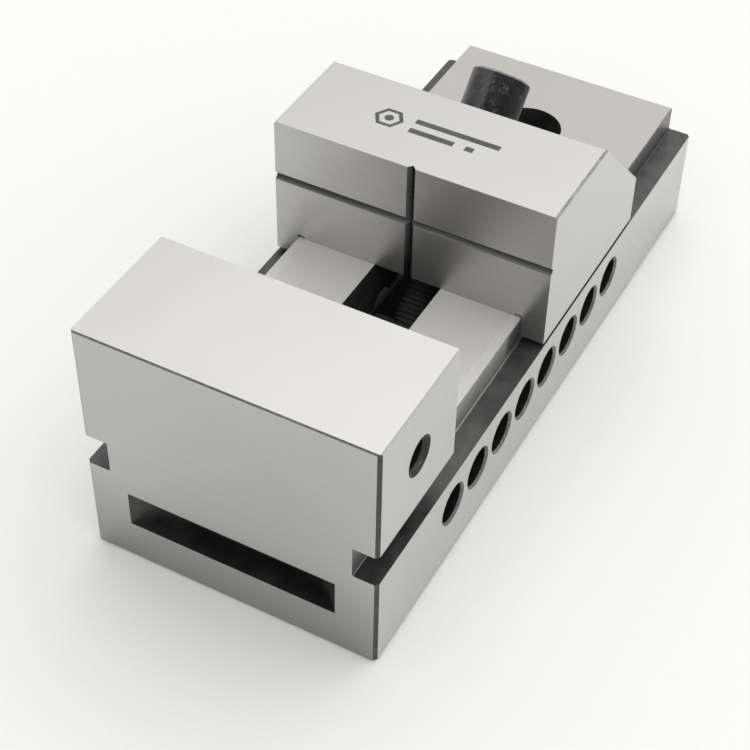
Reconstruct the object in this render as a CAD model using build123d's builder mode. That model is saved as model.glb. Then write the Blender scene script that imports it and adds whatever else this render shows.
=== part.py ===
"""Precision machine vise for a 100 mm workpiece width, after its ground-steel toolmaker's pattern.

The frame: X across the vise, Y along it from the fixed jaw (-Y) to the rear end (+Y), Z up.
The origin is the centre of the underside. All sizes are millimetres.

A hardened body carries the fixed jaw. The moving jaw straddles the bed and is drawn forward and
down by one inclined socket screw. The screw pulls a cross nut up into one of a row of half-round
notches under the bed. Backed off, the nut drops clear of the notches and the jaw slides freely.
"""
from build123d import *
from math import cos, radians, sin, sqrt
import os

os.makedirs("parts", exist_ok=True)

# ---------------------------------------------------------------- body
body_width = 100.0
body_length = 245.0
bed_height = 45.3
jaw_height = 45.0
jaw_top = bed_height + jaw_height
fixed_jaw_depth = 47.1
shoulder_height = 36.0
groove_top = 47.9
bed_width = 83.2
corner_chamfer = 1.1
edge_chamfer = 0.8
jaw_edge_chamfer = 0.5
fine_chamfer = 0.3
foot_radius = 0.7

half_width = body_width / 2
half_bed = bed_width / 2
body_front = -body_length / 2
body_rear = body_length / 2
fixed_jaw_face = body_front + fixed_jaw_depth

# Slot in the bed, and the wider channel under it that the cross nut runs in.
slot_width = 24.6
slot_rear_end = 97.2
channel_width = 56.0
channel_front = -94.0
channel_rear = 94.0
channel_ceiling = 25.8
channel_corner = 8.0

# Cross-drilled nut notches, eight in a row.
notch_count = 8
notch_pitch = 17.35
notch_middle = -12.45
notch_height = 22.8
notch_radius = 6.7
notch_sink = 0.75

# Pockets for hold-down clamps, milled into both ends with a disc cutter run along X.
clamp_pocket_width = 72.0
clamp_pocket_depth = 9.0
clamp_pocket_low = 15.2
clamp_pocket_high = 28.8
cutter_radius = 25.0

# Tapped holes for a work stop, one in each side of the fixed jaw (M12).
stop_hole_y = body_front + 23.7
stop_hole_height = 68.4
stop_hole_radius = 5.1
stop_hole_depth = 20.0
stop_sink_radius = 6.7

# ---------------------------------------------------------------- moving jaw
opening = 66.0
moving_jaw_length = 73.4
moving_jaw_top_length = 38.8
skirt_gap = 1.7
side_clearance = 0.05
bed_clearance = 0.02
relief_width = 2.4
relief_depth = 1.0
groove_half_width = 1.45
work_groove_height = 68.4

jaw_face = fixed_jaw_face + opening
jaw_rear = jaw_face + moving_jaw_length
slope_top = jaw_face + moving_jaw_top_length
slope_drop = jaw_rear - slope_top
underside = bed_height + bed_clearance
skirt_bottom = shoulder_height + skirt_gap
inner_half = half_bed + side_clearance

keel_width = slot_width - 0.2
keel_half = keel_width / 2
keel_bottom = 40.0
keel_front = jaw_face + 15.4
keel_rear = 36.5

# ---------------------------------------------------------------- inclined screw and what is on it
# Heights along the screw are measured from the cross nut's centre when it sits in its notch.
screw_angle = 45.0
screw_radius = 6.0
thread_pitch = 1.75
thread_depth = 0.95
thread_turns = 25
head_radius = 10.25
head_top = 87.0
head_bottom = 73.0
head_chamfer = 0.7
socket_flats = 10.0
socket_depth = 7.5
socket_mouth_depth = 0.6
socket_mouth_growth = 1.0
screw_hole_radius = 6.5

washer_seat = 65.0
washer_radius = 12.0
washer_bore = 6.5
seat_radius = 13.0
cup_height = 5.6
cup_bore = 7.5
dish_radius = 17.0
dish_fit = 0.02
dome_low = 67.0
dome_width = 22.0

nut_drop = 6 * thread_pitch
nut_barrel_radius = 8.5
nut_barrel_width = 23.8
nut_flat = 7.5
nut_bore_radius = 6.06
barrel_chamfer = 0.6
trunnion_radius = 6.0
trunnion_span = 53.0
trunnion_chamfer = 0.8

ring_thickness = 1.1
ring_groove_radius = 5.4
ring_outer_radius = 8.0
ring_gap = 2.6
ring_eye_radius = 0.75
ring_lug_radius = 1.6
ring_side_gap = 0.1
ring_fit = 0.02
tip_length = 2.0
tip_chamfer = 1.2

spring_pocket_radius = 9.5
spring_pocket_end = 52.0
spring_low = 36.5
spring_wire_radius = 0.9
spring_mean_radius = 7.9
spring_turns = 4.5
collar_radius = 8.9
collar_thickness = 1.5

screw_direction = (0, cos(radians(screw_angle)), sin(radians(screw_angle)))
rest_notch = 4
seated_nut_y = notch_middle + (rest_notch - (notch_count - 1) / 2) * notch_pitch
seated_nut = Plane(
    origin=(0, seated_nut_y, notch_height),
    x_dir=(1, 0, 0),
    z_dir=screw_direction,
)
resting_nut = seated_nut.offset(-nut_drop)

# Stretch of the two end notches, so that the nut can also rise with the jaws closed and wide open.
full_opening = 125.0
first_notch_y = notch_middle - (notch_count - 1) / 2 * notch_pitch
last_notch_y = notch_middle + (notch_count - 1) / 2 * notch_pitch
closed_nut_y = seated_nut_y - opening
open_nut_y = seated_nut_y + full_opening - opening


def box_between(low, high, mode=Mode.ADD):
    """A box from its lowest corner to its highest corner."""
    size = [b - a for a, b in zip(low, high)]
    centre = [(a + b) / 2 for a, b in zip(low, high)]
    with Locations(Location(tuple(centre))):
        return Box(*size, mode=mode)


def clamp_pocket(face_y, inward):
    """Cuts a disc-cutter pocket into an end face; inward is +1 or -1 along Y."""
    centre_back = cutter_radius - clamp_pocket_depth
    end_reach = sqrt(cutter_radius**2 - centre_back**2)
    cut_length = clamp_pocket_width + 2 * (cutter_radius - end_reach)
    with BuildSketch(Plane.XY.offset(clamp_pocket_low)) as cutter_path:
        with Locations((0, face_y - inward * centre_back)):
            SlotOverall(cut_length, 2 * cutter_radius)
    extrude(cutter_path.sketch, amount=clamp_pocket_high - clamp_pocket_low, mode=Mode.SUBTRACT)


# ---------------------------------------------------------------- vise_body
with BuildPart() as vise_body:
    box_between((-half_width, body_front, 0), (half_width, body_rear, shoulder_height))
    box_between(
        (-half_width, body_front, groove_top), (half_width, fixed_jaw_face, jaw_top)
    )
    corner_edges = vise_body.edges().filter_by(Axis.Z).group_by(Axis.Y)
    chamfer(corner_edges[0] + corner_edges[-1], corner_chamfer)
    chamfer(vise_body.faces().sort_by(Axis.Z)[0].outer_wire().edges(), edge_chamfer)
    jaw_top_edges = vise_body.faces().sort_by(Axis.Z)[-1].outer_wire().edges()
    jaw_front_edge = jaw_top_edges.filter_by(Axis.X).sort_by(Axis.Y)[0]
    chamfer(jaw_top_edges.filter_by(Axis.Y) + [jaw_front_edge], jaw_edge_chamfer)
    box_between((-half_bed, body_front, shoulder_height), (half_bed, body_rear, bed_height))
    box_between((-half_bed, body_front, bed_height), (half_bed, fixed_jaw_face, groove_top))
    bed_edges = vise_body.faces().filter_by(Axis.Z).filter_by(
        lambda f: abs(f.center().Z - bed_height) < 0.01
    )
    bed_rear_edge = bed_edges.edges().filter_by(Axis.X).sort_by(Axis.Y)[-1]
    chamfer(bed_edges.edges().filter_by(Axis.Y) + [bed_rear_edge], fine_chamfer)
    wall_feet = vise_body.edges().filter_by(Axis.Y).filter_by(
        lambda e: abs(e.center().Z - shoulder_height) < 0.01
        and abs(abs(e.center().X) - half_bed) < 0.01
    )
    fillet(wall_feet, foot_radius)

    # Underside channel for the cross nut, and the slot that opens it through the bed.
    with BuildSketch(Plane.XY):
        with Locations((0, (channel_front + channel_rear) / 2)):
            RectangleRounded(channel_width, channel_rear - channel_front, channel_corner)
    extrude(amount=channel_ceiling, mode=Mode.SUBTRACT)
    with BuildSketch(Plane.XY.offset(channel_ceiling - 1)):
        with Locations((0, (channel_front + slot_rear_end) / 2)):
            SlotOverall(slot_rear_end - channel_front, slot_width, rotation=90)
    extrude(amount=bed_height - channel_ceiling + 1, mode=Mode.SUBTRACT)

    # Cross-drilled notches: through both walls and the undersides of the bed ledges.
    for index in range(notch_count):
        notch_y = first_notch_y + index * notch_pitch
        for side in (-1, 1):
            wall = Plane(
                origin=(side * half_width, notch_y, notch_height),
                x_dir=(0, 1, 0),
                z_dir=(side, 0, 0),
            )
            with Locations(wall):
                CounterSinkHole(
                    notch_radius, notch_radius + notch_sink, depth=half_width
                )
    for hole_y, nut_y in ((first_notch_y, closed_nut_y), (last_notch_y, open_nut_y)):
        with BuildSketch(Plane.YZ.offset(-channel_width / 2)):
            with Locations(((hole_y + nut_y) / 2, notch_height)):
                SlotOverall(nut_y - hole_y + 2 * notch_radius, 2 * notch_radius)
        extrude(amount=channel_width, mode=Mode.SUBTRACT)

    clamp_pocket(body_front, 1)
    clamp_pocket(body_rear, -1)

    for side in (-1, 1):
        stop_face = Plane(
            origin=(side * half_width, stop_hole_y, stop_hole_height),
            x_dir=(0, 1, 0),
            z_dir=(side, 0, 0),
        )
        with Locations(stop_face):
            CounterSinkHole(stop_hole_radius, stop_sink_radius, depth=stop_hole_depth)

# ---------------------------------------------------------------- moving_jaw
with BuildPart() as moving_jaw:
    with BuildSketch(Plane.YZ.offset(-half_width)):
        Polygon(
            (jaw_face, skirt_bottom),
            (jaw_face, jaw_top),
            (slope_top, jaw_top),
            (jaw_rear, jaw_top - slope_drop),
            (jaw_rear, skirt_bottom),
            align=None,
        )
    extrude(amount=body_width)
    top_edges = moving_jaw.faces().sort_by(Axis.Z)[-1].edges()
    chamfer(top_edges.filter_by(Axis.Y), edge_chamfer)
    box_between(
        (-inner_half, jaw_face, skirt_bottom),
        (inner_half, jaw_rear, underside),
        mode=Mode.SUBTRACT,
    )
    # Grinding reliefs in the two inner corners, which keep them off the bed's edges.
    for side in (-1, 1):
        relief_edge = side * inner_half
        relief_inner = relief_edge - side * relief_width
        box_between(
            (min(relief_edge, relief_inner), jaw_face, underside - 1),
            (max(relief_edge, relief_inner), jaw_rear, underside + relief_depth),
            mode=Mode.SUBTRACT,
        )
    # Keel that guides the jaw in the slot. It stands back from the jaw's face, and its rear
    # end is round like the slot's.
    with BuildSketch(Plane.XY.offset(keel_bottom)):
        with BuildLine():
            Polyline(
                (-keel_half, keel_rear - keel_half),
                (-keel_half, keel_front),
                (keel_half, keel_front),
                (keel_half, keel_rear - keel_half),
            )
            RadiusArc(
                (keel_half, keel_rear - keel_half),
                (-keel_half, keel_rear - keel_half),
                -keel_half,
            )
        make_face()
    extrude(amount=underside - keel_bottom + 1)

    # V grooves for round work, one upright and one level across the face.
    with BuildSketch(Plane.XY.offset(skirt_bottom)):
        Polygon(
            (-groove_half_width, jaw_face - 0.01),
            (groove_half_width, jaw_face - 0.01),
            (0, jaw_face + groove_half_width),
            align=None,
        )
    extrude(amount=jaw_top - skirt_bottom, mode=Mode.SUBTRACT)
    with BuildSketch(Plane.YZ.offset(-half_width)):
        Polygon(
            (jaw_face - 0.01, work_groove_height - groove_half_width),
            (jaw_face - 0.01, work_groove_height + groove_half_width),
            (jaw_face + groove_half_width, work_groove_height),
            align=None,
        )
    extrude(amount=body_width, mode=Mode.SUBTRACT)

    # Along the screw: the washer seat in the slope, the screw hole, and the spring's pocket.
    with BuildSketch(seated_nut.offset(washer_seat)):
        Circle(seat_radius)
    extrude(amount=head_top - washer_seat, mode=Mode.SUBTRACT)
    with BuildSketch(seated_nut.offset(spring_pocket_end)):
        Circle(screw_hole_radius)
    extrude(amount=washer_seat - spring_pocket_end, mode=Mode.SUBTRACT)
    with BuildSketch(seated_nut):
        Circle(spring_pocket_radius)
    extrude(amount=spring_pocket_end, mode=Mode.SUBTRACT)

# ---------------------------------------------------------------- conical_washer and spherical_washer
dome_centre = seated_nut.offset(dome_low + dish_radius)

with BuildPart() as conical_washer:
    with BuildSketch(seated_nut.offset(washer_seat)):
        Circle(washer_radius)
        Circle(cup_bore, mode=Mode.SUBTRACT)
    extrude(amount=cup_height)
    with Locations(dome_centre):
        Sphere(dish_radius + dish_fit, mode=Mode.SUBTRACT)

with BuildPart() as spherical_washer:
    with BuildSketch(seated_nut.offset(dome_low)):
        Circle(dome_width / 2)
    extrude(amount=head_bottom - dome_low)
    with Locations(dome_centre):
        Sphere(dish_radius, mode=Mode.INTERSECT)
    with BuildSketch(seated_nut.offset(dome_low)):
        Circle(washer_bore)
    extrude(amount=head_bottom - dome_low, mode=Mode.SUBTRACT)

# ---------------------------------------------------------------- clamp_screw
ring_high = -nut_drop - nut_flat - ring_side_gap
ring_low = ring_high - ring_thickness
screw_tip = ring_low - tip_length
collar_low = spring_low - collar_thickness
root_radius = screw_radius - thread_depth
head_rim = head_radius - head_chamfer

# Half outline of the screw: radius outward, height along it. The thread is rings at true pitch.
outline = [(0, screw_tip), (screw_radius - tip_chamfer, screw_tip)]
outline += [(screw_radius, screw_tip + tip_chamfer), (screw_radius, ring_low)]
outline += [(ring_groove_radius, ring_low), (ring_groove_radius, ring_high), (screw_radius, ring_high)]
for turn in range(thread_turns):
    turn_low = ring_high + turn * thread_pitch
    outline += [
        (screw_radius, turn_low + 0.12 * thread_pitch),
        (root_radius, turn_low + 0.45 * thread_pitch),
        (root_radius, turn_low + 0.55 * thread_pitch),
        (screw_radius, turn_low + 0.88 * thread_pitch),
    ]
outline += [(screw_radius, collar_low), (ring_groove_radius, collar_low)]
outline += [(ring_groove_radius, spring_low), (screw_radius, spring_low)]
outline += [(screw_radius, head_bottom), (head_radius, head_bottom)]
outline += [(head_radius, head_top - head_chamfer), (head_rim, head_top), (0, head_top)]

screw_profile_plane = Plane(
    origin=seated_nut.origin, x_dir=(1, 0, 0), z_dir=(0, -screw_direction[2], screw_direction[1])
)
with BuildPart() as clamp_screw:
    with BuildSketch(screw_profile_plane):
        with BuildLine():
            Polyline(*outline, close=True)
        make_face()
    revolve(axis=Axis(seated_nut.origin, seated_nut.z_dir))
    with BuildSketch(seated_nut.offset(head_top - socket_depth)):
        RegularPolygon(socket_flats / 2, 6, major_radius=False)
    extrude(amount=socket_depth, mode=Mode.SUBTRACT)
    with BuildSketch(seated_nut.offset(head_top - socket_mouth_depth)):
        Circle(socket_flats / 2)
    with BuildSketch(seated_nut.offset(head_top)):
        Circle(socket_flats / 2 + socket_mouth_growth)
    loft(mode=Mode.SUBTRACT)

# ---------------------------------------------------------------- retaining_ring and spring_collar
eye_offset = ring_gap / 2 + ring_lug_radius
eye_height = ring_lug_radius - ring_outer_radius
with BuildPart() as retaining_ring:
    with BuildSketch(seated_nut.offset(ring_low + ring_fit)):
        Circle(ring_outer_radius)
        Circle(ring_groove_radius + ring_fit, mode=Mode.SUBTRACT)
        with Locations((0, -ring_outer_radius)):
            Rectangle(ring_gap, ring_outer_radius, mode=Mode.SUBTRACT)
        with Locations((-eye_offset, eye_height), (eye_offset, eye_height)):
            Circle(ring_lug_radius)
            Circle(ring_eye_radius, mode=Mode.SUBTRACT)
    extrude(amount=ring_thickness - 2 * ring_fit)

with BuildPart() as spring_collar:
    with BuildSketch(seated_nut.offset(collar_low + ring_fit)):
        Circle(collar_radius)
        Circle(ring_groove_radius + ring_fit, mode=Mode.SUBTRACT)
        with Locations((0, -collar_radius)):
            Rectangle(ring_gap, collar_radius, mode=Mode.SUBTRACT)
    extrude(amount=collar_thickness - 2 * ring_fit)

# ---------------------------------------------------------------- cross_nut
nut_cross = Plane(origin=resting_nut.origin, x_dir=(0, 1, 0), z_dir=(1, 0, 0))
with BuildPart() as cross_nut:
    with BuildSketch(nut_cross.offset(-nut_barrel_width / 2)):
        Circle(nut_barrel_radius)
    extrude(amount=nut_barrel_width)
    chamfer(cross_nut.edges().filter_by(GeomType.CIRCLE), barrel_chamfer)
    with BuildSketch(nut_cross.offset(-trunnion_span / 2)):
        Circle(trunnion_radius)
    extrude(amount=trunnion_span)
    trunnion_ends = cross_nut.edges().filter_by(GeomType.CIRCLE).sort_by(Axis.X)
    chamfer([trunnion_ends[0], trunnion_ends[-1]], trunnion_chamfer)
    for flat_side in (-1, 1):
        with BuildSketch(resting_nut.offset(flat_side * nut_flat)):
            Rectangle(nut_barrel_width, 2 * nut_barrel_radius)
        extrude(amount=flat_side * nut_barrel_radius, mode=Mode.SUBTRACT)
    with BuildSketch(resting_nut.offset(-nut_barrel_radius)):
        Circle(nut_bore_radius)
    extrude(amount=2 * nut_barrel_radius, mode=Mode.SUBTRACT)

# ---------------------------------------------------------------- return_spring
# The end coils are ground flat, halfway through the wire.
spring_height = spring_pocket_end - spring_low
coil_path = seated_nut.offset(spring_low) * Helix(
    spring_height / spring_turns, spring_height, spring_mean_radius
)
with BuildPart() as return_spring:
    with BuildSketch(Plane(origin=coil_path @ 0, z_dir=coil_path % 0)):
        Circle(spring_wire_radius)
    sweep(path=coil_path, is_frenet=True)
    for end_height, outward in ((spring_low, -1), (spring_pocket_end, 1)):
        with BuildSketch(seated_nut.offset(end_height)):
            Circle(spring_pocket_radius)
        extrude(amount=outward * 3 * spring_wire_radius, mode=Mode.SUBTRACT)

pieces = {
    "vise_body": vise_body,
    "moving_jaw": moving_jaw,
    "conical_washer": conical_washer,
    "spherical_washer": spherical_washer,
    "clamp_screw": clamp_screw,
    "retaining_ring": retaining_ring,
    "spring_collar": spring_collar,
    "cross_nut": cross_nut,
    "return_spring": return_spring,
}
for label, piece in pieces.items():
    piece.part.label = label
    export_step(piece.part, f"parts/{label}.step")
    print(label, piece.part.is_valid, len(piece.part.solids()), round(piece.part.volume, 1))
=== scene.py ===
"""Looks of the ground machine vise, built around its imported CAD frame.

The frame is the CAD's: X across the vise, Y along it, Z up, origin at the underside's centre.
"""
import bmesh
import bpy
from math import cos, pi, radians, sin
from mathutils import Matrix, Vector


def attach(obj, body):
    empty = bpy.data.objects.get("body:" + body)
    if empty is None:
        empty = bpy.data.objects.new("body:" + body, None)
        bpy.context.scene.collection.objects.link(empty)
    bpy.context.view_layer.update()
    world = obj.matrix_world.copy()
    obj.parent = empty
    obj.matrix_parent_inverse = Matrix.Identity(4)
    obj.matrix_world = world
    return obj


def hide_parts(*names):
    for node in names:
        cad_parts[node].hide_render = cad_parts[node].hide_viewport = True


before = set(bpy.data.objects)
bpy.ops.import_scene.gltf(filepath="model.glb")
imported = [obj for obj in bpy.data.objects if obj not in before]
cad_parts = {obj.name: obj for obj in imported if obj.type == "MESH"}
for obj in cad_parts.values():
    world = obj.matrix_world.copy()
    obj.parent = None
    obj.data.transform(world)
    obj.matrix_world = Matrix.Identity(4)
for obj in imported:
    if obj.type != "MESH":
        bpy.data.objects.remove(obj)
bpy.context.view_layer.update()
MM = 0.001

# --------------------------------------------------------------- the CAD's levels, in millimetres
JAW_TOP = 90.3
BED_TOP = 45.3
SHOULDER = 36.0
HALF_WIDTH = 50.0
HALF_BED = 41.6
END = 122.5
FIXED_FACE = -75.4
JAW_FACE = -9.4
JAW_REAR = 64.0
STOP_HOLE_Y = -98.8
BED_EDGE_CHAMFER = 0.3
FIXED_JAW_CHAMFER = 0.5
MOVING_JAW_CHAMFER = 0.8
SLOPE_SUM = 119.7
HALF_POCKET = 36.5
POCKET_LOW = 15.1
POCKET_HIGH = 28.9
POCKET_BACK = 112.5
HALF_SLOT = 12.5
CHANNEL_ROOF = 25.8
HEAD_LOW = 73.0
HEAD_HIGH = 87.0
SCREW_AXIS = Vector((0, cos(radians(45)), sin(radians(45))))
SCREW_START = Vector((0, -3.775, 22.8))


# --------------------------------------------------------------- material helpers
class Nodes:
    """A material being built from procedural nodes in the object's own coordinates."""

    def __init__(self, name):
        self.material = bpy.data.materials.new(name)
        self.material.use_nodes = True
        self.tree = self.material.node_tree
        self.tree.nodes.clear()
        self.coords = self.tree.nodes.new("ShaderNodeTexCoord").outputs["Object"]

    def put(self, socket, value):
        """Links value to the socket if it is a socket, or sets it as the socket's number."""
        if isinstance(value, bpy.types.NodeSocket):
            self.tree.links.new(value, socket)
        else:
            socket.default_value = value

    def along(self, axis):
        """The position along one axis of the CAD's frame, in metres."""
        node = self.tree.nodes.new("ShaderNodeSeparateXYZ")
        self.tree.links.new(self.coords, node.inputs[0])
        return node.outputs[axis]

    def math(self, operation, first, second=0.0):
        node = self.tree.nodes.new("ShaderNodeMath")
        node.operation = operation
        self.put(node.inputs[0], first)
        self.put(node.inputs[1], second)
        return node.outputs[0]

    def noise(self, scale, detail=3.0, roughness=0.55, turn=(0, 0, 0)):
        """Noise with a scale per metre along each axis: small along a direction makes streaks."""
        mapping = self.tree.nodes.new("ShaderNodeMapping")
        mapping.inputs["Rotation"].default_value = turn
        mapping.inputs["Scale"].default_value = scale
        self.tree.links.new(self.coords, mapping.inputs["Vector"])
        node = self.tree.nodes.new("ShaderNodeTexNoise")
        node.inputs["Scale"].default_value = 1.0
        node.inputs["Detail"].default_value = detail
        node.inputs["Roughness"].default_value = roughness
        self.tree.links.new(mapping.outputs["Vector"], node.inputs["Vector"])
        return node.outputs["Fac"]

    def spread(self, value, low, high, out_low, out_high):
        """Maps low..high of value to out_low..out_high, and holds it there outside."""
        node = self.tree.nodes.new("ShaderNodeMapRange")
        self.put(node.inputs["Value"], value)
        for name, number in (
            ("From Min", low), ("From Max", high), ("To Min", out_low), ("To Max", out_high)
        ):
            node.inputs[name].default_value = number
        return node.outputs["Result"]

    def blend(self, factor, first, second):
        """A colour between two colours or colour sockets."""
        node = self.tree.nodes.new("ShaderNodeMix")
        node.data_type = "RGBA"
        self.put(node.inputs["Factor"], factor)
        for socket, value in ((node.inputs["A"], first), (node.inputs["B"], second)):
            self.put(socket, value)
        return node.outputs["Result"]

    def bump(self, height, strength, distance, under=None):
        node = self.tree.nodes.new("ShaderNodeBump")
        node.inputs["Strength"].default_value = strength
        node.inputs["Distance"].default_value = distance
        self.put(node.inputs["Height"], height)
        if under is not None:
            self.tree.links.new(under, node.inputs["Normal"])
        return node.outputs["Normal"]

    def finish(self, colour, roughness, normal, metallic=1.0):
        shader = self.tree.nodes.new("ShaderNodeBsdfPrincipled")
        shader.inputs["Metallic"].default_value = metallic
        self.put(shader.inputs["Base Color"], colour)
        self.put(shader.inputs["Roughness"], roughness)
        self.tree.links.new(normal, shader.inputs["Normal"])
        output = self.tree.nodes.new("ShaderNodeOutputMaterial")
        self.tree.links.new(shader.outputs["BSDF"], output.inputs["Surface"])
        return self.material


def grey(level, warmth=0.0):
    """A near-grey colour; warmth moves red up and blue down."""
    return (level * (1 + warmth), level, level * (1 - warmth), 1.0)


def streaks(along, fine, long):
    """Noise scale per metre that is long along one axis (0, 1 or 2) and fine across it."""
    scale = [fine, fine, fine]
    scale[along] = long
    return tuple(scale)


def ground_steel(
    name, along, level=0.58, warmth=0.015, rough=(0.24, 0.30), lines=1.0, shades=(), metallic=1.0,
    bumps=0.004, corner=0.0,
):
    """Fine-ground steel: very fine lines along one axis, faint clouds and a few long scratches.

    lines scales how much the grinding shows, and bumps how deep it is. Each of shades is a painted
    shade: an axis, where along it the painted shade starts, where it is full, how much it is, and
    optionally where it starts to fade again and where it is gone.
    corner paints a shade into the right bottom corner of the jaw's face, over the shoulder: a
    painted reflection of the dark shoulder.
    """
    n = Nodes(name)
    lay = n.noise(streaks(along, 5200, 60), detail=4.0, roughness=0.7)
    broad = n.noise(streaks(along, 900, 14), detail=3.0)
    cloud = n.noise((26, 26, 26), detail=2.0)
    scratch = n.noise(streaks(along, 1700, 22), detail=1.0)
    scratch_mask = n.spread(scratch, 0.72, 0.77, 0.0, 0.10 * lines)
    tone = n.math("ADD", n.math("MULTIPLY", lay, 0.5), n.math("MULTIPLY", broad, 0.5))
    colour = n.blend(
        n.spread(tone, 0.30, 0.70, 0.0, 1.0),
        grey(level * (1 - 0.03 * lines), warmth),
        grey(level * (1 + 0.03 * lines), warmth * 0.7),
    )
    clouded = grey(level * 0.93, warmth * 1.8)
    colour = n.blend(n.spread(cloud, 0.35, 0.75, 0.0, 0.3), colour, clouded)
    colour = n.blend(scratch_mask, colour, grey(level * 1.2))
    # Painted shade: each of shades blends the colour towards a darker grey along one axis.
    for axis, start, end, amount, *fade in shades:
        shade = n.spread(n.along(axis), start, end, 0.0, amount)
        if fade:
            shade = n.math("MULTIPLY", shade, n.spread(n.along(axis), *fade, 1.0, 0.0))
        colour = n.blend(shade, colour, grey(level * 0.35, -0.01))
    # Painted reflection of the dark shoulder in the right bottom corner of the jaw's face.
    if corner:
        lean = n.math("SUBTRACT", n.along("X"), n.math("MULTIPLY", n.along("Z"), 0.4))
        colour = n.blend(n.spread(lean, 0.0225, 0.0250, 0.0, corner), colour, grey(level * 0.35))
    base = n.spread(cloud, 0.3, 0.7, rough[0], rough[1])
    roughness = n.math("ADD", base, n.spread(lay, 0.3, 0.7, -0.015 * lines, 0.02 * lines))
    normal = n.bump(lay, bumps, 0.01 * MM)
    return n.finish(colour, roughness, normal, metallic)


def bed_steel(name):
    """The bed's top: dull and whitish where work rubs it, browner at the rear end.

    Beside the right edge a strip as wide as a parallel is rubbed a little brighter.
    """
    n = Nodes(name)
    lay = n.noise(streaks(1, 4200, 45), detail=4.0, roughness=0.7)
    cloud = n.noise((60, 34, 60), detail=4.0, roughness=0.6)
    rubbed = n.spread(n.along("Y"), -0.02, 0.04, 1.0, 0.0)
    colour = n.blend(rubbed, grey(0.47, 0.035), grey(0.63, 0.018))
    colour = n.blend(n.spread(lay, 0.35, 0.70, 0.0, 0.10), colour, grey(0.30, 0.02))
    colour = n.blend(n.spread(cloud, 0.45, 0.75, 0.0, 0.22), colour, grey(0.40, 0.03))
    across = n.along("X")
    strip = n.math("MULTIPLY", n.spread(across, 0.0374, 0.0377, 0.0, 0.16), rubbed)
    line = n.math("LESS_THAN", n.math("ABSOLUTE", n.math("SUBTRACT", across, 0.0375)), 0.0001)
    line = n.math("MULTIPLY", n.math("MULTIPLY", line, rubbed), n.spread(cloud, 0.4, 0.6, 0.0, 0.4))
    colour = n.blend(strip, colour, grey(0.80, 0.02))
    colour = n.blend(line, colour, grey(0.20))
    roughness = n.spread(cloud, 0.3, 0.7, 0.42, 0.52)
    return n.finish(colour, roughness, n.bump(lay, 0.05, 0.02 * MM), 0.25)


def dark_steel(name, level=0.075, rough=(0.38, 0.55), metallic=0.9):
    """Hardened steel left unground: dark, satin and slightly blotchy."""
    n = Nodes(name)
    grain = n.noise((2600, 2600, 2600), detail=4.0, roughness=0.65)
    blotch = n.noise((160, 160, 160), detail=4.0, roughness=0.6)
    haze = n.noise((30, 30, 30), detail=2.0)
    blotched = grey(level * 1.55, 0.02)
    colour = n.blend(n.spread(blotch, 0.35, 0.7, 0.0, 1.0), grey(level, -0.02), blotched)
    colour = n.blend(n.spread(haze, 0.4, 0.7, 0.0, 0.45), colour, grey(level * 0.6))
    roughness = n.spread(blotch, 0.3, 0.7, rough[0], rough[1])
    normal = n.bump(grain, 0.25, 0.03 * MM)
    normal = n.bump(blotch, 0.12, 0.12 * MM, normal)
    return n.finish(colour, roughness, normal, metallic)


def cut_edge(name, level=0.16, rough=(0.32, 0.5), flecks=0.0):
    """A chamfer cut before hardening: darker than the ground faces, with short cutter marks.

    flecks is how much bright metal shows through in small broken spots.
    """
    n = Nodes(name)
    chatter = n.noise((900, 900, 900), detail=3.0, roughness=0.7)
    wander = n.noise((140, 140, 140), detail=2.0)
    fleck = n.noise((620, 620, 620), detail=2.0, roughness=0.6)
    marks = n.spread(chatter, 0.3, 0.7, 0.0, 1.0)
    colour = n.blend(marks, grey(level * 0.7), grey(level * 1.35, 0.01))
    colour = n.blend(n.spread(wander, 0.5, 0.75, 0.0, 0.6), colour, grey(level * 1.8))
    colour = n.blend(n.spread(fleck, 0.60, 0.68, 0.0, flecks), colour, grey(0.45, 0.01))
    roughness = n.spread(chatter, 0.3, 0.7, rough[0], rough[1])
    normal = n.bump(chatter, 0.3, 0.05 * MM)
    return n.finish(colour, roughness, normal)


def black_oxide(name, edge=False):
    """Black oxide on the screw: satin black, with pale rubbed smears, and a painted sheen (a
    painted reflection) that lightens its left side and draws the smears towards it.

    edge gives the head's rubbed corner, where the steel shows through.
    """
    n = Nodes(name)
    tilt = (radians(-45), 0, 0)
    smear = n.noise((420, 420, 75), detail=4.0, roughness=0.7, turn=tilt)
    speck = n.noise((1500, 1500, 900), detail=3.0, roughness=0.7, turn=tilt)
    cloud = n.noise((190, 190, 190), detail=3.0)
    # Painted sheen: the pale smears are drawn towards the left side.
    left = n.spread(n.along("X"), -0.006, 0.003, 0.12, 0.0)
    smears_and_sheen = n.spread(n.math("ADD", smear, left), 0.56, 0.74, 0.0, 1.0)
    smears_and_sheen = n.math("MULTIPLY", smears_and_sheen, n.spread(speck, 0.38, 0.62, 0.3, 1.0))
    colour = n.blend(n.spread(cloud, 0.35, 0.7, 0.0, 1.0), grey(0.014, -0.03), grey(0.030, -0.02))
    # Painted reflection: a smooth lighter grey over the left side of the screw.
    ragged_x = n.math("ADD", n.along("X"), n.spread(smear, 0.3, 0.7, -0.001, 0.001))
    side = n.spread(ragged_x, -0.0004, 0.0010, 0.8, 0.0)
    colour = n.blend(side, colour, grey(0.11))
    colour = n.blend(smears_and_sheen, colour, grey(0.17, -0.01))
    if edge:
        colour = n.blend(n.spread(speck, 0.35, 0.6, 0.25, 1.0), colour, grey(0.30))
    roughness = n.spread(smear, 0.3, 0.7, 0.30, 0.46)
    normal = n.bump(speck, 0.15, 0.04 * MM)
    return n.finish(colour, roughness, normal, 0.85)


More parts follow.
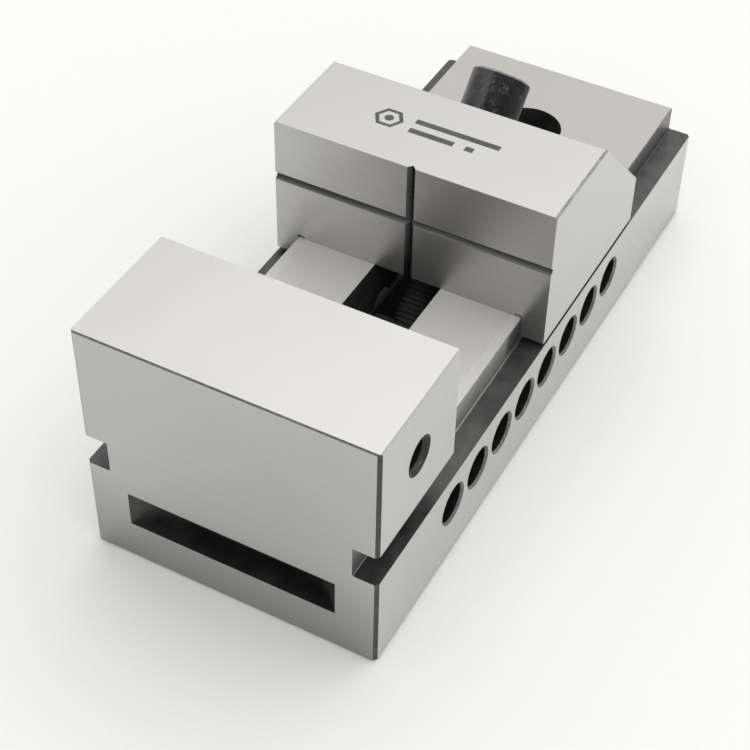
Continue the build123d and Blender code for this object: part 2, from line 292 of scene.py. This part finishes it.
# --------------------------------------------------------------- meshes
def from_cad(node, body, name, bevel):
    """A copy of a CAD node's mesh with its flat faces joined and its sharp edges just broken."""
    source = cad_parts[node]
    mesh = bpy.data.meshes.new(name)
    work = bmesh.new()
    work.from_mesh(source.data)
    bmesh.ops.remove_doubles(work, verts=work.verts, dist=1e-6)
    bmesh.ops.dissolve_limit(work, angle_limit=0.002, verts=work.verts, edges=work.edges)
    for face in work.faces:
        face.smooth = True
    for edge in work.edges:
        edge.smooth = len(edge.link_faces) == 2 and edge.calc_face_angle(pi) < radians(28)
    work.to_mesh(mesh)
    work.free()
    piece = bpy.data.objects.new(name, mesh)
    bpy.context.scene.collection.objects.link(piece)
    if bevel:
        modifier = piece.modifiers.new("broken edges", "BEVEL")
        modifier.width = bevel
        modifier.segments = 2
        modifier.limit_method = "ANGLE"
        modifier.angle_limit = radians(28)
        modifier.use_clamp_overlap = True
        modifier.harden_normals = True
    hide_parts(node)
    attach(piece, body)
    return piece


def paint(piece, materials, pick):
    """Gives every face the material that pick(centre in mm, normal) names."""
    names = list(materials)
    for material in materials.values():
        piece.data.materials.append(material)
    for face in piece.data.polygons:
        face.material_index = names.index(pick(face.center / MM, face.normal))


def near(value, target, within=0.05):
    return abs(value - target) < within


ground_top = ground_steel("steel_ground_top", 0, lines=0.12, bumps=0.0)
# The ends darken towards the bottom: a painted shade for the floor's contact shadow seen in them.
ground_end = ground_steel(
    "steel_ground_end", 0, level=0.49, rough=(0.28, 0.34), shades=(("Z", 0.035, 0.0, 0.55),)
)
ground_side = ground_steel("steel_ground_side", 1, level=0.54, lines=0.4, bumps=0.0)
# The jaw's face is darker towards the right, a painted reflection, and corner paints the dark
# shoulder's reflection into its right bottom corner.
jaw_front = ground_steel(
    "steel_jaw_face", 0, level=0.54, rough=(0.36, 0.43), lines=1.4, metallic=0.85, corner=0.6,
    shades=(("X", -0.022, 0.006, 0.17),),
)
bed = bed_steel("steel_bed")
# Painted shade on the bed's side walls beyond both jaws, and a painted shadow of the moving jaw
# just before its face that fades out beneath it; both stay put when the jaw moves.
painted_shade_beyond_jaws = (("Y", -0.072, -0.078, 0.4), ("Y", 0.058, 0.068, 0.9))
painted_jaw_shadow = 3 * (("Y", -0.021, -0.014, 1.0, 0.0, 0.008),)
wall = ground_steel(
    "steel_bed_wall", 1, level=0.54, rough=(0.40, 0.52), lines=2.0,
    shades=painted_shade_beyond_jaws + painted_jaw_shadow,
)
bed_edge = cut_edge("steel_bed_edge", level=0.27)
# Painted shade on the foot fillets of the bed's side walls beyond both jaws.
foot_shades = (("Y", -0.072, -0.078, 0.4), ("Y", 0.058, 0.066, 1.0), ("Y", 0.058, 0.066, 0.8))
wall_foot = ground_steel("steel_wall_foot", 1, level=0.22, shades=foot_shades)
raw = dark_steel("steel_unground", level=0.085)
# A darker copy of the unground steel: painted shade on hollows and hidden inner faces.
deep = dark_steel("steel_deep_shade", level=0.022, rough=(0.42, 0.6))
pocket = dark_steel("steel_pocket", level=0.08, rough=(0.35, 0.5))
# A lighter copy of the unground steel: painted light on the slot's walls.
slot_wall = dark_steel("steel_slot_wall", level=0.15, rough=(0.35, 0.5))
# The lip darkens towards the groove's root: a painted shade in the crease.
lip = ground_steel(
    "steel_groove_lip", 0, level=0.17, rough=(0.3, 0.45), lines=6.0,
    shades=(("Z", 0.06715, 0.0677, 0.8),),
)
cone = cut_edge("steel_hole_cone", level=0.045, flecks=0.25)
rim = cut_edge("steel_hole_rim", level=0.15, flecks=0.3)
edges = cut_edge("steel_chamfer", level=0.075)
top_edge = cut_edge("steel_top_chamfer", level=0.19)
bright_edge = cut_edge("steel_bright_chamfer", level=0.36)
oxide = black_oxide("screw_oxide")
oxide_edge = black_oxide("screw_oxide_edge", edge=True)
thread = dark_steel("steel_thread", level=0.05, rough=(0.70, 0.80), metallic=0.25)
spring_steel = dark_steel("steel_spring", level=0.03, rough=(0.3, 0.45))


def body_zone(centre, normal):
    x, y, z = abs(centre.x), centre.y, centre.z
    if near(z, JAW_TOP) and normal.z > 0.9:
        return "top"
    if near(z, BED_TOP) and normal.z > 0.9:
        return "bed"
    if near(x, HALF_WIDTH) or (near(z, 0) and normal.z < -0.9):
        return "side"
    if near(y, -END) or near(y, END) or near(y, FIXED_FACE):
        return "end"
    if near(x, HALF_BED + 0.35, 0.4) and SHOULDER < z < SHOULDER + 0.72 and normal.z > 0.1:
        return "foot"
    if near(x, HALF_BED, 0.1) and SHOULDER < z < BED_TOP + 3:
        return "wall"
    if near(x + z, HALF_BED + BED_TOP - BED_EDGE_CHAMFER, 0.2) and normal.z > 0.5:
        return "bed edge"
    if near(x + z, HALF_WIDTH + JAW_TOP - FIXED_JAW_CHAMFER, 0.2) and normal.z > 0.5:
        return "side"
    if x > HALF_WIDTH - 1.7 and z > 60 and abs(normal.x) > 0.3 and near(y, STOP_HOLE_Y, 8):
        return "cone"
    if x > HALF_WIDTH - 1 and y > -END + 2 and 10 < z < 32 and abs(normal.x) > 0.3:
        return "rim"
    if x < HALF_POCKET and POCKET_LOW < z < POCKET_HIGH and abs(y) > POCKET_BACK:
        return "pocket"
    if near(z, JAW_TOP, 0.6) and near(y, -END, 0.6) and x < HALF_WIDTH - 1:
        return "top edge"
    if near(abs(y), END, 1.2) or near(x, HALF_WIDTH, 0.9):
        return "chamfer"
    if near(z, 0, 0.85) or near(z, JAW_TOP, 0.6):
        return "chamfer"
    if x < HALF_SLOT and z > CHANNEL_ROOF and abs(y) < 98 and abs(normal.z) < 0.9:
        return "slot"
    if 25 < x and z > 60 and near(y, STOP_HOLE_Y, 8):
        return "deep"
    if x < 36.5 and abs(y) < 110 and z < BED_TOP - 0.01 and abs(normal.z) < 0.99:
        return "deep"
    if 10 < z < 35 and x > 28:
        return "deep"
    return "raw"


vise_body = from_cad("vise_body", "body", "ground_body", 0.1 * MM)
paint(
    vise_body,
    {
        "top": ground_top,
        "side": ground_side,
        "end": ground_end,
        "bed": bed,
        "bed edge": bed_edge,
        "wall": wall,
        "foot": wall_foot,
        "slot": slot_wall,
        "rim": rim,
        "cone": cone,
        "chamfer": edges,
        "top edge": top_edge,
        "pocket": pocket,
        "deep": deep,
        "raw": raw,
    },
    body_zone,
)


def jaw_zone(centre, normal):
    x, y, z = abs(centre.x), centre.y, centre.z
    if near(z, JAW_TOP) and normal.z > 0.9:
        return "top"
    if near(x, HALF_WIDTH):
        return "side"
    if near(y, JAW_FACE) and normal.y < -0.9:
        return "face"
    if near(y, JAW_REAR) or near(y + z, SLOPE_SUM):
        return "top"
    if near(x + z, JAW_TOP + HALF_WIDTH - MOVING_JAW_CHAMFER, 0.3):
        return "bright"
    if y < JAW_FACE + 1.6:
        return "lip" if normal.z > 0.3 else "groove"
    if z < BED_TOP + 3 or x < 15:
        return "deep"
    return "raw"


moving_jaw = from_cad("moving_jaw", "jaw", "ground_jaw", 0.06 * MM)
paint(
    moving_jaw,
    {
        "top": ground_top,
        "side": ground_side,
        "face": jaw_front,
        "bright": bright_edge,
        "lip": lip,
        "groove": edges,
        "deep": deep,
        "raw": raw,
    },
    jaw_zone,
)


def screw_zone(centre, normal):
    along_screw = (centre - SCREW_START).dot(SCREW_AXIS)
    if near(along_screw, HEAD_HIGH - 0.35, 0.3) and normal.dot(SCREW_AXIS) < 0.95:
        return "edge"
    return "head" if along_screw > HEAD_LOW - 0.1 else "thread"


clamp_screw = from_cad("clamp_screw", "screw", "socket_screw", 0)
paint(clamp_screw, {"head": oxide, "edge": oxide_edge, "thread": thread}, screw_zone)

for node, material in (
    ("conical_washer", oxide),
    ("spherical_washer", oxide),
    ("retaining_ring", spring_steel),
    ("spring_collar", spring_steel),
    ("cross_nut", thread),
    ("return_spring", spring_steel),
):
    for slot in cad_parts[node].material_slots:
        slot.material = material


# --------------------------------------------------------------- a plain etched mark on the jaw
MARK_RISE = 0.01


def plate(work, outline, hole=()):
    """Adds a thin solid plate on the jaw's top from an outline, with an optional hole's outline."""
    rings = []
    for height in (JAW_TOP - 0.02, JAW_TOP + MARK_RISE):
        rings.append([
            [work.verts.new(Vector((x, y, height)) * MM) for x, y in points]
            for points in ((outline, hole) if hole else (outline,))
        ])
    low, high = rings
    count = len(outline)
    for i in range(count):
        j = (i + 1) % count
        work.faces.new((low[0][i], low[0][j], high[0][j], high[0][i]))
        if hole:
            work.faces.new((low[1][j], low[1][i], high[1][i], high[1][j]))
            work.faces.new((high[0][i], high[0][j], high[1][j], high[1][i]))
            work.faces.new((low[0][j], low[0][i], low[1][i], low[1][j]))
    if not hole:
        work.faces.new(high[0])
        work.faces.new(low[0][::-1])


def polygon(centre, radius, corners, start=0.0):
    return [
        (centre[0] + radius * cos(start + 2 * pi * i / corners),
         centre[1] + radius * sin(start + 2 * pi * i / corners))
        for i in range(corners)
    ]


def bar(x_low, x_high, y_low, y_high):
    return [(x_low, y_low), (x_high, y_low), (x_high, y_high), (x_low, y_high)]


mark_mesh = bpy.data.meshes.new("etched_mark")
mark = bmesh.new()
plate(mark, polygon((-18.5, 10.6), 5.2, 6), polygon((-18.5, 10.6), 3.7, 6))
plate(mark, polygon((-18.5, 10.6), 1.6, 24))
plate(mark, bar(-10.0, 20.0, 12.0, 14.4))
plate(mark, bar(-10.0, 6.0, 6.8, 9.2))
plate(mark, bar(10.0, 13.0, 6.8, 9.2))
mark.to_mesh(mark_mesh)
mark.free()
etched_mark = bpy.data.objects.new("etched_mark", mark_mesh)
bpy.context.scene.collection.objects.link(etched_mark)
mark_mesh.materials.append(dark_steel("steel_etched", level=0.075, rough=(0.45, 0.6), metallic=0.4))
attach(etched_mark, "jaw")

# --------------------------------------------------------------- stage, light and camera
floor_mesh = bpy.data.meshes.new("floor")
half = 3.0
floor_mesh.from_pydata(
    [(-half, -half, 0), (half, -half, 0), (half, half, 0), (-half, half, 0)], [], [(0, 1, 2, 3)]
)
floor = bpy.data.objects.new("floor", floor_mesh)
floor.location.z = -0.05 * MM
bpy.context.scene.collection.objects.link(floor)
paper = Nodes("paper")
grain = paper.noise((900, 900, 900), detail=2.0)
paper_colour = paper.blend(
    paper.spread(grain, 0.3, 0.7, 0.0, 1.0), (0.865, 0.87, 0.85, 1), (0.885, 0.89, 0.87, 1)
)
# The paper inside the vise's channel, which only shows through the slot, is in deep shadow.
across = paper.spread(paper.math("ABSOLUTE", paper.along("X")), 0.024, 0.028, 1.0, 0.0)
lengthwise = paper.spread(paper.math("ABSOLUTE", paper.along("Y")), 0.085, 0.094, 1.0, 0.0)
paper_colour = paper.blend(paper.math("MULTIPLY", across, lengthwise), paper_colour, grey(0.05))
paper_normal = paper.bump(grain, 0.02, 0.02 * MM)
floor_mesh.materials.append(paper.finish(paper_colour, 0.9, paper_normal, 0.0))

# The studio: a pale tent, brighter overhead and towards the right.
world = bpy.data.worlds.new("studio")
bpy.context.scene.world = world
world.use_nodes = True
tent = world.node_tree
direction = tent.nodes.new("ShaderNodeSeparateXYZ")
tent_direction = tent.nodes.new("ShaderNodeTexCoord").outputs["Generated"]
tent.links.new(tent_direction, direction.inputs[0])
height = tent.nodes.new("ShaderNodeValToRGB")
height.color_ramp.interpolation = "EASE"
for position, level in ((0.50, 0.56), (0.72, 0.88), (0.80, 0.96)):
    stop = height.color_ramp.elements.new(position)
    stop.color = (level, level, level * 0.99, 1)
height.color_ramp.elements[0].color = (0.50, 0.50, 0.495, 1)
height.color_ramp.elements[-1].color = (1.0, 1.0, 0.99, 1)
lift = tent.nodes.new("ShaderNodeMapRange")
lift.inputs["From Min"].default_value = 0.0
lift.inputs["To Min"].default_value = 0.0
tent.links.new(direction.outputs["Z"], lift.inputs["Value"])
tent.links.new(lift.outputs["Result"], height.inputs["Fac"])


def tent_range(value, from_low, from_high, to_low, to_high, kind="LINEAR"):
    """Maps a tent value from one range to another and holds it there outside."""
    node = tent.nodes.new("ShaderNodeMapRange")
    node.interpolation_type = kind
    for name, number in (
        ("From Min", from_low), ("From Max", from_high), ("To Min", to_low), ("To Max", to_high)
    ):
        node.inputs[name].default_value = number
    tent.links.new(value, node.inputs["Value"])
    return node.outputs["Result"]


def tent_product(first, second):
    node = tent.nodes.new("ShaderNodeMath")
    node.operation = "MULTIPLY"
    tent.links.new(first, node.inputs[0])
    tent.links.new(second, node.inputs[1])
    return node.outputs[0]


panel = tent.nodes.new("ShaderNodeVectorMath")
panel.operation = "DOT_PRODUCT"
panel.inputs[1].default_value = (-0.30, 0.60, 0.74)
tent.links.new(tent_direction, panel.inputs[0])
strength = tent_product(
    tent_range(direction.outputs["X"], -0.8, 0.4, 0.85, 1.62),
    tent_range(direction.outputs["Y"], -0.8, 0.4, 0.80, 1.05),
)
strength = tent_product(
    strength, tent_range(panel.outputs["Value"], 0.60, 0.97, 1.0, 1.36, "SMOOTHSTEP")
)
tent.links.new(height.outputs["Color"], tent.nodes["Background"].inputs["Color"])
tent.links.new(strength, tent.nodes["Background"].inputs["Strength"])

camera_data = bpy.data.cameras.new("camera")
camera_data.sensor_width = 36
camera_data.lens = 84.84
camera_data.clip_start = 0.01
camera_data.clip_end = 20
camera = bpy.data.objects.new("camera", camera_data)
right = Vector((0.87971, 0.47526, 0.01551)).normalized()
forward = Vector((-0.32991, 0.63349, -0.69989)).normalized()
right = (right - right.dot(forward) * forward).normalized()
up = right.cross(forward)
camera.matrix_world = Matrix.Translation((0.19443, -0.40435, 0.43072)) @ Matrix(
    (right, up, -forward)
).transposed().to_4x4()
bpy.context.scene.collection.objects.link(camera)
bpy.context.scene.camera = camera
bpy.context.scene.view_settings.view_transform = "Standard"
